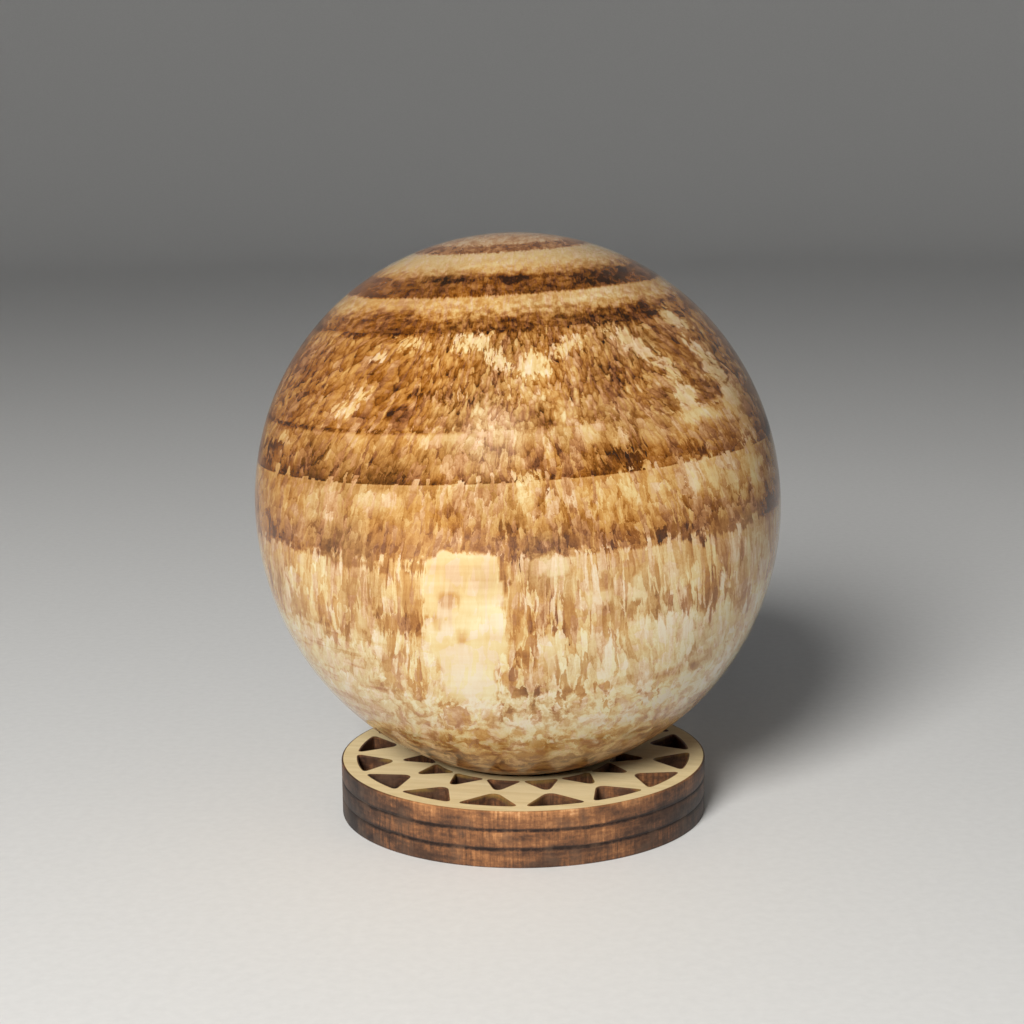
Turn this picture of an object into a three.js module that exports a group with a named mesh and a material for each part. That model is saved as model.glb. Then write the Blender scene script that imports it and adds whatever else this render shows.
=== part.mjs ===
// A polished banded-stone ball, a little taller than it is wide, resting in the round
// hole of a pierced plywood ring stand.
// Millimetres, +Z up. The origin is the middle of the stand's underside.
import * as THREE from 'three';

// ---- the plywood stand ----
const plyThickness = 2;
const plyCount = 3;
const standHeight = plyThickness * plyCount;
const standRadius = 20;
const holeRadius = 8.4;
const rimSegments = 120;
const holeSegments = 60;

// ---- the pierced pattern: two rings of three-sided openings, point to point ----
// Between them they leave a ring of diamonds, each touching its neighbours at the waist circle.
const diamondCount = 16;
const outerBaseRadius = 18.15;
const innerBaseRadius = 10.25;
const waistRadius = 13.95;
const waistGap = 0.6;
const outerBridge = 1.25;
const innerBridge = 0.6;
const cornerCut = 0.4;
const apexCut = 1.1;
const openingCurveSegments = 3;

// ---- the stone ----
const stoneRadius = 27.9;
const stoneHalfHeight = 29.08;
const seatGap = 0.05;
const swellHeight = 0.75;
const swellRise = THREE.MathUtils.degToRad(27);
const swellPower = 6;
const stoneSegments = 72;
const stoneRings = 36;

// The finishes of the two pieces.
function stoneFinish() {
  return new THREE.MeshStandardMaterial({ color: 0xb98d58, roughness: 0.18, metalness: 0 });
}

function plywoodFinish() {
  return new THREE.MeshStandardMaterial({ color: 0xcdb98c, roughness: 0.7, metalness: 0 });
}

// A point at a distance and an angle from the axis. Angle 0 faces the front, -Y.
function polarPoint(radius, angle) {
  return new THREE.Vector2(radius * Math.sin(angle), -radius * Math.cos(angle));
}

function circlePoints(radius, segments) {
  const points = [];
  for (let i = 0; i < segments; i += 1) {
    points.push(polarPoint(radius, (i / segments) * 2 * Math.PI));
  }
  return points;
}

// The point that lies a given length from one point on the way to another.
function pointTowards(from, to, length) {
  return from.clone().add(to.clone().sub(from).setLength(length));
}

// One opening: a base that follows a circle about the axis, two straight sides that meet
// in a blunt apex, and softly rounded corners.
function openingPath(baseRadius, apexRadius, bridge, middleAngle) {
  const halfPitch = Math.PI / diamondCount;
  const halfBase = halfPitch - bridge / 2 / baseRadius;
  const cutAngle = cornerCut / baseRadius;
  const startAngle = middleAngle - halfBase;
  const endAngle = middleAngle + halfBase;
  const startCorner = polarPoint(baseRadius, startAngle);
  const endCorner = polarPoint(baseRadius, endAngle);
  const apex = polarPoint(apexRadius, middleAngle);

  const startOfBase = polarPoint(baseRadius, startAngle + cutAngle);
  const endOfSide = pointTowards(endCorner, apex, cornerCut);
  const beforeApex = pointTowards(apex, endCorner, apexCut);
  const afterApex = pointTowards(apex, startCorner, apexCut);
  const startOfSide = pointTowards(startCorner, apex, cornerCut);

  // absarc measures its angles from +X, a quarter turn ahead of the front.
  const fromX = -Math.PI / 2;
  const path = new THREE.Path();
  path.moveTo(startOfBase.x, startOfBase.y);
  path.absarc(0, 0, baseRadius, fromX + startAngle + cutAngle, fromX + endAngle - cutAngle, false);
  path.quadraticCurveTo(endCorner.x, endCorner.y, endOfSide.x, endOfSide.y);
  path.lineTo(beforeApex.x, beforeApex.y);
  path.quadraticCurveTo(apex.x, apex.y, afterApex.x, afterApex.y);
  path.lineTo(startOfSide.x, startOfSide.y);
  path.quadraticCurveTo(startCorner.x, startCorner.y, startOfBase.x, startOfBase.y);
  return path;
}

// The round stand seen from above: its rim, the hole that the stone sits in, and the
// openings. A diamond faces the front, so the openings lie half a pitch to either side.
function standOutline() {
  const outline = new THREE.Shape(circlePoints(standRadius, rimSegments));
  outline.holes.push(new THREE.Path(circlePoints(holeRadius, holeSegments)));
  for (let i = 0; i < diamondCount; i += 1) {
    const middleAngle = ((i + 0.5) / diamondCount) * 2 * Math.PI;
    const outerApex = waistRadius + waistGap / 2;
    const innerApex = waistRadius - waistGap / 2;
    outline.holes.push(openingPath(outerBaseRadius, outerApex, outerBridge, middleAngle));
    outline.holes.push(openingPath(innerBaseRadius, innerApex, innerBridge, middleAngle));
  }
  return outline;
}

function makeStand() {
  const geometry = new THREE.ExtrudeGeometry(standOutline(), {
    depth: standHeight,
    bevelEnabled: false,
    curveSegments: openingCurveSegments,
  });
  const stand = new THREE.Mesh(geometry, plywoodFinish());
  stand.name = 'plywood_stand';
  return stand;
}

// The stone's surface: a spheroid with one broad, shallow swell high on its -X side,
// where the hand grinding left it fuller. The swell fades out well above the seat.
function makeStone() {
  const geometry = new THREE.SphereGeometry(1, stoneSegments, stoneRings);
  geometry.rotateX(Math.PI / 2);
  const swellDirection = new THREE.Vector3(-Math.cos(swellRise), 0, Math.sin(swellRise));
  const size = new THREE.Vector3(stoneRadius, stoneRadius, stoneHalfHeight);
  const positions = geometry.attributes.position;
  const direction = new THREE.Vector3();
  for (let i = 0; i < positions.count; i += 1) {
    direction.fromBufferAttribute(positions, i);
    const nearness = (1 + direction.dot(swellDirection)) / 2;
    const growth = 1 + (swellHeight / stoneRadius) * nearness ** swellPower;
    direction.multiply(size).multiplyScalar(growth);
    positions.setXYZ(i, direction.x, direction.y, direction.z);
  }
  geometry.computeVertexNormals();
  const stone = new THREE.Mesh(geometry, stoneFinish());
  stone.name = 'stone_sphere';
  return stone;
}

// The height of the stone's middle when it touches the edge of the hole all the way round.
function seatedHeight() {
  const drop = stoneHalfHeight * Math.sqrt(1 - (holeRadius / stoneRadius) ** 2);
  return standHeight + seatGap + drop;
}

const sphereOnStand = new THREE.Group();
const stone = makeStone();
stone.position.z = seatedHeight();
sphereOnStand.add(makeStand());
sphereOnStand.add(stone);

export default sphereOnStand;
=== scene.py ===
import math

import bpy
import numpy as np
from mathutils import Matrix, Vector, geometry


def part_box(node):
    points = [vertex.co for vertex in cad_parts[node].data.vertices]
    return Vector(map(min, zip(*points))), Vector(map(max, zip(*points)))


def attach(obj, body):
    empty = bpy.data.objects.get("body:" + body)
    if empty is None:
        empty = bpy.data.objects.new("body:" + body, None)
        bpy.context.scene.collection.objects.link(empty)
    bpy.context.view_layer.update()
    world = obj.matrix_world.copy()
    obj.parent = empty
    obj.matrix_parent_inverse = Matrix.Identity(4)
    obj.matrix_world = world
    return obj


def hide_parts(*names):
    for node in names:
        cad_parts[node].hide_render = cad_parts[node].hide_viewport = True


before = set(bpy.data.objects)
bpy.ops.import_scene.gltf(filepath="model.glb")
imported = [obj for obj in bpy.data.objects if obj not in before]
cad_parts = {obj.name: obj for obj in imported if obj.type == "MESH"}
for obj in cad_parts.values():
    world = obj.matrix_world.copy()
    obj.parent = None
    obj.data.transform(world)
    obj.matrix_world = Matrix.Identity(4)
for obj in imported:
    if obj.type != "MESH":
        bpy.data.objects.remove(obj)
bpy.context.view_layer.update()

# A polished ball of banded stone on a pierced plywood ring. The scene is in metres;
# the dictionaries are in millimetres and degrees unless a name says otherwise.

mm = 0.001


def toLinear(colour):
    # Screen colour, 0 to 255 a channel, turned into the linear colour a material wants.
    c = np.array(colour, float) / 255
    c = np.where(c <= 0.04045, c / 12.92, ((c + 0.055) / 1.055) ** 2.4)
    return (*c.tolist(), 1.0)


def smoothStep(low, high, value):
    # 0 below low, 1 above high, and 3t^2 - 2t^3 between them.
    t = np.clip((value - low) / (high - low), 0, 1)
    return t * t * (3 - 2 * t)


def latticeNoise(points, cellSize, seed):
    # Random numbers on the corners of a cubic lattice, blended by the smooth step along
    # each axis. Gives 0 to 1 for whole arrays of points.
    repeat = 64               # cells until the lattice starts again
    table = np.random.default_rng(seed).random((repeat, repeat, repeat))
    cells = points / cellSize
    corner = np.floor(cells).astype(int)
    part = cells - corner
    part = part * part * (3 - 2 * part)
    total = np.zeros(points.shape[:-1])
    for step in np.ndindex(2, 2, 2):
        where = (corner + step) % repeat
        weight = np.prod(np.where(np.array(step) == 1, part, 1 - part), axis=-1)
        total += weight * table[where[..., 0], where[..., 1], where[..., 2]]
    return total


def gridFaces(rows, columns):
    # Four corners for every cell of a grid of points whose rows are closed rings.
    r, c = np.meshgrid(np.arange(rows - 1), np.arange(columns), indexing="ij")
    here, beside = r * columns + c, r * columns + (c + 1) % columns
    return np.stack([here, beside, beside + columns, here + columns], -1).reshape(-1, 4)


def makePiece(name, points, faces, material, marks=None):
    # points in metres; faces a list of index arrays; marks are values kept at the points.
    mesh = bpy.data.meshes.new(name)
    mesh.from_pydata(points.tolist(), [], [face for part in faces for face in part.tolist()])
    mesh.update(calc_edges=True)
    mesh.polygons.foreach_set("use_smooth", np.full(len(mesh.polygons), True))
    for label, values in (marks or {}).items():
        kind, slot = ("FLOAT_VECTOR", "vector") if values.ndim == 2 else ("FLOAT", "value")
        kept = mesh.attributes.new(label, kind, "POINT")
        kept.data.foreach_set(slot, values.astype(np.float32).ravel())
    mesh.materials.append(material)
    piece = bpy.data.objects.new(name, mesh)
    bpy.context.scene.collection.objects.link(piece)
    return piece


def newMaterial(name):
    # A bare material, and a function that adds one node to it and joins up its inputs.
    material = bpy.data.materials.new(name)
    material.use_nodes = True
    tree = material.node_tree
    tree.nodes.clear()

    def add(kind, inputs=None, **settings):
        node = tree.nodes.new(kind)
        for key, value in settings.items():
            setattr(node, key, value)
        for key, value in (inputs or {}).items():
            if isinstance(value, bpy.types.NodeSocket):
                tree.links.new(value, node.inputs[key])
            else:
                node.inputs[key].default_value = value
        return node

    return material, add


def calc(add, operation, a, b=0.0, c=0.0, clamp=False):
    # One sum with up to three numbers, a node of its own.
    return add("ShaderNodeMath", {0: a, 1: b, 2: c}, operation=operation, use_clamp=clamp).outputs[0]


def plus(add, a, b):
    return calc(add, "ADD", a, b)


def minus(add, a, b):
    return calc(add, "SUBTRACT", a, b)


def times(add, a, b):
    return calc(add, "MULTIPLY", a, b)


def scaled(add, value, factor, shift, clamp=False):
    # value times factor, plus shift.
    return calc(add, "MULTIPLY_ADD", value, factor, shift, clamp)


def centred(add, value):
    # A pattern of 0 to 1 moved to lie about zero.
    return minus(add, value, 0.5)


def vectorCalc(add, operation, a, b, c=(0, 0, 0), output=0):
    return add("ShaderNodeVectorMath", {0: a, 1: b, 2: c}, operation=operation).outputs[output]


def ease(add, value, low, high, toLow=0.0, toHigh=1.0):
    # The smooth step from toLow, below low, to toHigh, above high.
    inputs = {"Value": value, "From Min": low, "From Max": high, "To Min": toLow, "To Max": toHigh}
    return add("ShaderNodeMapRange", inputs, interpolation_type="SMOOTHSTEP").outputs["Result"]


def blend(add, factor, first, second):
    # Numbers: first where factor is 0, second where it is 1.
    return add("ShaderNodeMix", {"Factor": factor, 2: first, 3: second}, data_type="FLOAT").outputs[0]


def blendColour(add, factor, first, second):
    # The same for colours.
    return add("ShaderNodeMix", {"Factor": factor, 6: first, 7: second}, data_type="RGBA").outputs[2]


def pointMark(add, label, output="Fac"):
    # A value kept at the mesh's points.
    return add("ShaderNodeAttribute", attribute_name=label, attribute_type="GEOMETRY").outputs[output]


def splitVector(add, vector):
    return add("ShaderNodeSeparateXYZ", {"Vector": vector}).outputs


def splitColour(add, colour):
    return add("ShaderNodeSeparateColor", {"Color": colour}).outputs


def joinVector(add, x, y, z):
    return add("ShaderNodeCombineXYZ", {"X": x, "Y": y, "Z": z}).outputs[0]


def noise(add, vector, scale, detail=2.0, roughness=0.5, size=(1, 1, 1), shift=(0, 0, 0), distortion=0.0):
    # Soft noise of 0 to 1; size is the waves along each axis, scale multiplies them all.
    place = add("ShaderNodeMapping", {"Vector": vector, "Scale": size, "Location": shift})
    wave = add("ShaderNodeTexNoise", {"Vector": place.outputs[0], "Scale": scale, "Detail": detail,
                                      "Roughness": roughness, "Distortion": distortion})
    return wave.outputs["Fac"]


def ramp(add, factor, stops):
    # stops: (place, colour) with the colour already linear.
    node = add("ShaderNodeValToRGB", {"Fac": factor})
    band = node.color_ramp
    while len(band.elements) > 1:
        band.elements.remove(band.elements[-1])
    band.elements[0].position = stops[0][0]
    band.elements[0].color = stops[0][1]
    for place, colour in stops[1:]:
        band.elements.new(place).color = colour
    return node.outputs["Color"]


cameraView = {
    "place": (2.50, -212.53, 72.60),
    "turn": 0.92,
    "lookDown": 10.55,
    "roll": -0.67,
    "lens": 70.3125,
    "sensor": 36.0,
    "nearest": 10.0,
    "farthest": 20000.0,
}

cameraData = bpy.data.cameras.new("camera")
cameraData.lens = cameraView["lens"]
cameraData.sensor_width = cameraView["sensor"]
cameraData.clip_start = cameraView["nearest"] * mm
cameraData.clip_end = cameraView["farthest"] * mm
camera = bpy.data.objects.new("camera", cameraData)
bpy.context.scene.collection.objects.link(camera)
camera.matrix_world = (
    Matrix.Translation(Vector(cameraView["place"]) * mm)
    @ Matrix.Rotation(math.radians(cameraView["turn"]), 4, "Z")
    @ Matrix.Rotation(math.radians(90 - cameraView["lookDown"]), 4, "X")
    @ Matrix.Rotation(math.radians(cameraView["roll"]), 4, "Z")
)
bpy.context.scene.camera = camera
print("camera ready")


floor = {
    "flatRadius": 1000.0,
    "curveRadius": 500.0,
    "wallHeight": 1500.0,
    "innerRing": 0.02,        # radius of the first ring of points, in flat radiuses
    "rings": (12, 18, 4),     # rings of points on the flat, the curve and the wall
    "spokes": 96,
    "colour": (224, 224, 223),
    "grainDark": -3,          # the grain's two ends, in steps of the colour
    "grainLight": 2,
    "grainScale": 900.0,      # waves in a metre
    "roughness": 0.6,
    "shine": 0.3,
}


def coveSurface(around, along):
    # A floor that turns up into a round wall: a profile of radius and height, flat, then a
    # quarter circle, then straight up, spun about Z.
    flat, curve, wall = (floor[key] for key in ("flatRadius", "curveRadius", "wallHeight"))
    bend = np.clip(along - 1, 0, 1) * np.pi / 2
    radius = flat * np.clip(along, 0, 1) + curve * np.sin(bend)
    height = curve * (1 - np.cos(bend)) + (wall - curve) * np.clip(along - 2, 0, 1)
    return np.stack([radius * np.sin(around), -radius * np.cos(around), height + 0 * around], -1) * mm


def makeFloorMaterial():
    material, add = newMaterial("pale_floor")
    grain = noise(add, add("ShaderNodeTexCoord").outputs["Object"], floor["grainScale"], 3.0, 0.6)
    dark, light = ([channel + floor[key] for channel in floor["colour"]]
                   for key in ("grainDark", "grainLight"))
    shader = add("ShaderNodeBsdfPrincipled", {
        "Base Color": ramp(add, grain, [(0.3, toLinear(dark)), (0.7, toLinear(light))]),
        "Roughness": floor["roughness"],
        "Specular IOR Level": floor["shine"],
    })
    add("ShaderNodeOutputMaterial", {"Surface": shader.outputs[0]})
    return material


def makeFloor():
    # Rings of points from near the middle outwards and up, and one point in the middle.
    spokes, (onFlat, onCurve, onWall) = floor["spokes"], floor["rings"]
    around = np.linspace(0, 2 * np.pi, spokes, endpoint=False)
    along = np.concatenate([np.linspace(floor["innerRing"], 1, onFlat),
                            np.linspace(1, 2, onCurve)[1:], np.linspace(2, 3, onWall)[1:]])
    rings = coveSurface(around[None, :], along[:, None]).reshape(-1, 3)
    start = np.arange(spokes)
    fan = np.stack([np.full(spokes, len(rings)), start, (start + 1) % spokes], -1)
    faces = [gridFaces(len(along), spokes)[:, ::-1], fan]
    return makePiece("studio_floor", np.vstack([rings, [[0, 0, 0]]]), faces, makeFloorMaterial())


makeFloor()

# Round lamps, each aimed at one point above the floor. Azimuth 0 is the front, -Y, and less
# than 0 is towards -X. The polish does not mirror the key lamp; it mirrors the weak gleam lamp.
lampAim = 30.0
lamps = {
    "key_light": {"azimuth": -20.0, "rise": 29.0, "distance": 650.0, "size": 240.0,
                  "watts": 6.1, "colour": (1.0, 0.985, 0.955), "mirrored": False},
    "fill_light": {"azimuth": 60.0, "rise": 55.0, "distance": 1100.0, "size": 900.0,
                   "watts": 0.16, "colour": (0.93, 0.95, 1.0), "mirrored": True},
    "gleam_light": {"azimuth": -10.0, "rise": 34.0, "distance": 700.0, "size": 300.0,
                    "watts": 0.35, "colour": (1.0, 0.985, 0.955), "mirrored": True},
}
sky = {"colour": (0.92, 0.94, 1.0), "strength": 0.065}


def makeLamp(name, settings):
    a, e = math.radians(settings["azimuth"]), math.radians(settings["rise"])
    back = Vector((math.sin(a) * math.cos(e), -math.cos(a) * math.cos(e), math.sin(e)))
    lamp = bpy.data.lights.new(name, "AREA")
    lamp.shape = "DISK"
    lamp.size = settings["size"] * mm
    lamp.energy = settings["watts"]
    lamp.color = settings["colour"]
    holder = bpy.data.objects.new(name, lamp)
    bpy.context.scene.collection.objects.link(holder)
    holder.location = Vector((0, 0, lampAim * mm)) + back * settings["distance"] * mm
    holder.rotation_euler = back.to_track_quat("Z", "Y").to_euler()
    holder.visible_glossy = settings["mirrored"]


for lampName, lampSettings in lamps.items():
    makeLamp(lampName, lampSettings)

world = bpy.data.worlds.new("soft_sky")
bpy.context.scene.world = world
world.use_nodes = True
background = world.node_tree.nodes["Background"]
background.inputs["Color"].default_value = (*sky["colour"], 1)
background.inputs["Strength"].default_value = sky["strength"]
bpy.context.scene.view_settings.view_transform = "Standard"
print("floor and light ready")


stone = {
    "inset": 0.012,           # kept this far inside the solid
    "around": 440,
    "rings": 222,
    "swell": 0.75,            # the ball swells out by this much, towards -X and up
    "swellRise": 27.0,
    "swellPower": 6,
    "zero": 0.21,             # layer height 0 lies this far above the stone's middle
    "tilt": 0.048,            # the layers rise towards +X by this much for each millimetre
    "leanHeights": (-30, -1, 2, 7, 9, 13, 20, 23, 30),
    "leans": (0.12, 0.12, 0.25, 0.35, 0.55, 0.9, 0.9, 0.3, 0.0),
    "leanSides": (-0.8, 1.0),      # how much of the lean there is at -X and at +X
    "edges": (-30, -28, -26.5, -25, -23.6, -22.2, -20.8, -19.2, -17.6, -16.2, -14.8, -10.2, -5.6,
              -0.5, 1.3, 3.2, 5.0, 6.85, 8.2, 9.8, 11.65, 12.6, 13.6, 14.5, 15.3, 16.2, 17.1, 18.0,
              18.9, 19.7, 20.4, 21.1, 21.9, 22.7, 23.6, 24.4, 25.3, 26.3, 27.4, 28.1, 30),
    "depthStretch": 0.42,     # fibres are ribbons, longer along Y
    "broadFibre": (1.05, 1.0),     # width, and how many lengths to a growth layer
    "fineFibre": (0.42, 1.6),
    "edgeSoft": 0.9,          # crisp patches fade over this much on either side of the outline
    "patchWobble": (0.9, 0.6, 0.45),    # how long, how far across and how far up
    "frontSide": (2.0, -4.0),      # patches fade in between these two places along Y
    "cloudSizes": (2.2, 1.1),      # the light and dark clouds of the back, two sizes
    "cloudStrength": 0.15,
    "darkestWindow": 0.15,    # crisp patches no darker than this are the bright window
    "sharpEdge": 7.4,         # the teeth are few and thin about this height
    "lumpsFrom": 11.65,       # smaller lumps above this height
    "flatsFrom": 20.6,        # flat blotches above this height
    "blotchesBelow": (-13.5, -11.5),
    "thinLine": 11.70,        # height of the thin brown line
    "thinLineStrength": 0.17,
    "redTop": (27.3, 27.6),   # the cap turns rosy between these heights
    "dullFoot": (-23.0, -19.0),    # and the polish is duller below these
    "roughness": 0.16,
    "shine": 0.5,
    "coat": 0.25,
    "coatRoughness": 0.06,
    "translucence": 0.08,
    "dim": 0.64,              # the colours below are as they look under the key lamp
    "honey": [(0.00, (255, 240, 190)), (0.18, (246, 214, 150)), (0.38, (228, 176, 102)),
              (0.55, (202, 140, 66)), (0.72, (160, 95, 28)), (0.88, (108, 57, 10)), (1.00, (60, 32, 10))],
    "umber": [(0.00, (250, 236, 204)), (0.18, (230, 206, 160)), (0.38, (204, 166, 112)),
              (0.55, (172, 128, 74)), (0.72, (130, 90, 46)), (0.88, (82, 56, 24)), (1.00, (48, 34, 14))],
    "rose": [(0.00, (255, 240, 214)), (0.18, (248, 218, 180)), (0.38, (226, 178, 130)),
             (0.55, (194, 136, 86)), (0.72, (150, 94, 54)), (0.88, (98, 56, 32)), (1.00, (56, 32, 18))],
}

stoneLow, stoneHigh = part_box("stone_sphere")
stoneRadius = stoneHigh.x / mm - stone["inset"]
swellRise = math.radians(stone["swellRise"])
swellTowards = np.array([-math.cos(swellRise), 0, math.sin(swellRise)])


def swellGrowth(direction):
    # 1 + swell / radius * ((1 + direction . towards) / 2) ^ power.
    nearness = (1 + direction @ swellTowards) / 2
    return 1 + stone["swell"] / stoneRadius * nearness ** stone["swellPower"]


topGrowth = float(swellGrowth(np.array([0.0, 0.0, 1.0])))
bottomGrowth = float(swellGrowth(np.array([0.0, 0.0, -1.0])))
stoneHalfHeight = (stoneHigh.z - stoneLow.z) / mm / (topGrowth + bottomGrowth)
stoneMiddle = stoneLow.z / mm + stoneHalfHeight * bottomGrowth
stoneHalfHeight -= stone["inset"]


def stoneSurface(azimuth, latitude):
    # Direction (cos f sin a, -cos f cos a, sin f), stretched to the radius and the half
    # height, times the swell's growth. Azimuth 0 faces the front, -Y. Millimetres about
    # the stone's middle.
    direction = np.stack([np.cos(latitude) * np.sin(azimuth), -np.cos(latitude) * np.cos(azimuth),
                          np.sin(latitude) + 0 * azimuth], -1)
    size = np.array([stoneRadius, stoneRadius, stoneHalfHeight])
    return direction * size * swellGrowth(direction)[..., None]


# The layers, from the top down: lowest height of a layer, tone (0 cream, 1 darkest brown),
# strength of the fibres, strength of the mottle.
upperLayers = [
    (31, 0.42, 0.05, 0.2), (28.1, 0.38, 0.05, 0.2), (28.05, 0.66, 0.05, 0.25), (27.45, 0.64, 0.05, 0.25),
    (27.4, 0.26, 0.05, 0.06), (26.4, 0.27, 0.05, 0.1), (25.8, 0.44, 0.05, 0.26), (25.2, 0.74, 0.05, 0.26),
    (23.72, 0.82, 0.05, 0.22), (23.6, 0.4, 0.05, 0.14), (22.6, 0.38, 0.08, 0.24), (22, 0.54, 0.08, 0.34),
    (21.5, 0.68, 0.08, 0.3), (20.45, 0.78, 0.1, 0.28), (20.2, 0.6, 0.12, 0.3), (17.5, 0.61, 0.14, 0.28),
    (15.3, 0.6, 0.14, 0.28), (14.9, 0.67, 0.14, 0.28), (14.5, 0.55, 0.14, 0.28), (12.5, 0.58, 0.14, 0.26),
    (11.95, 0.62, 0.14, 0.18), (11.8, 0.66, 0.12, 0.12), (11.6, 0.64, 0.12, 0.12), (11.5, 0.48, 0.24, 0.14),
    (10.3, 0.46, 0.3, 0.14), (8.8, 0.58, 0.32, 0.12), (7.8, 0.68, 0.3, 0.1), (6.92, 0.8, 0.26, 0.08),
]
lowerLayers = [
    (6.85, 0.43, 0.28, 0.06), (4.5, 0.48, 0.32, 0.06), (2.5, 0.53, 0.32, 0.06), (1.2, 0.59, 0.32, 0.06),
    (-0.4, 0.66, 0.3, 0.06), (-0.6, 0.36, 0.3, 0.04), (-3, 0.34, 0.36, 0.04), (-6.5, 0.39, 0.4, 0.04),
    (-8, 0.37, 0.38, 0.04), (-8.3, 0.23, 0.32, 0.05), (-14, 0.22, 0.28, 0.08), (-14.5, 0.3, 0.24, 0.12),
    (-14.9, 0.22, 0.22, 0.16), (-15.5, 0.17, 0.2, 0.2), (-18, 0.25, 0.16, 0.24), (-20.5, 0.38, 0.14, 0.26),
    (-23, 0.51, 0.12, 0.26), (-26, 0.67, 0.1, 0.26), (-30, 0.74, 0.1, 0.25),
]
splitHeight = 6.88            # the sharp edge, where one list hands over to the other

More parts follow.
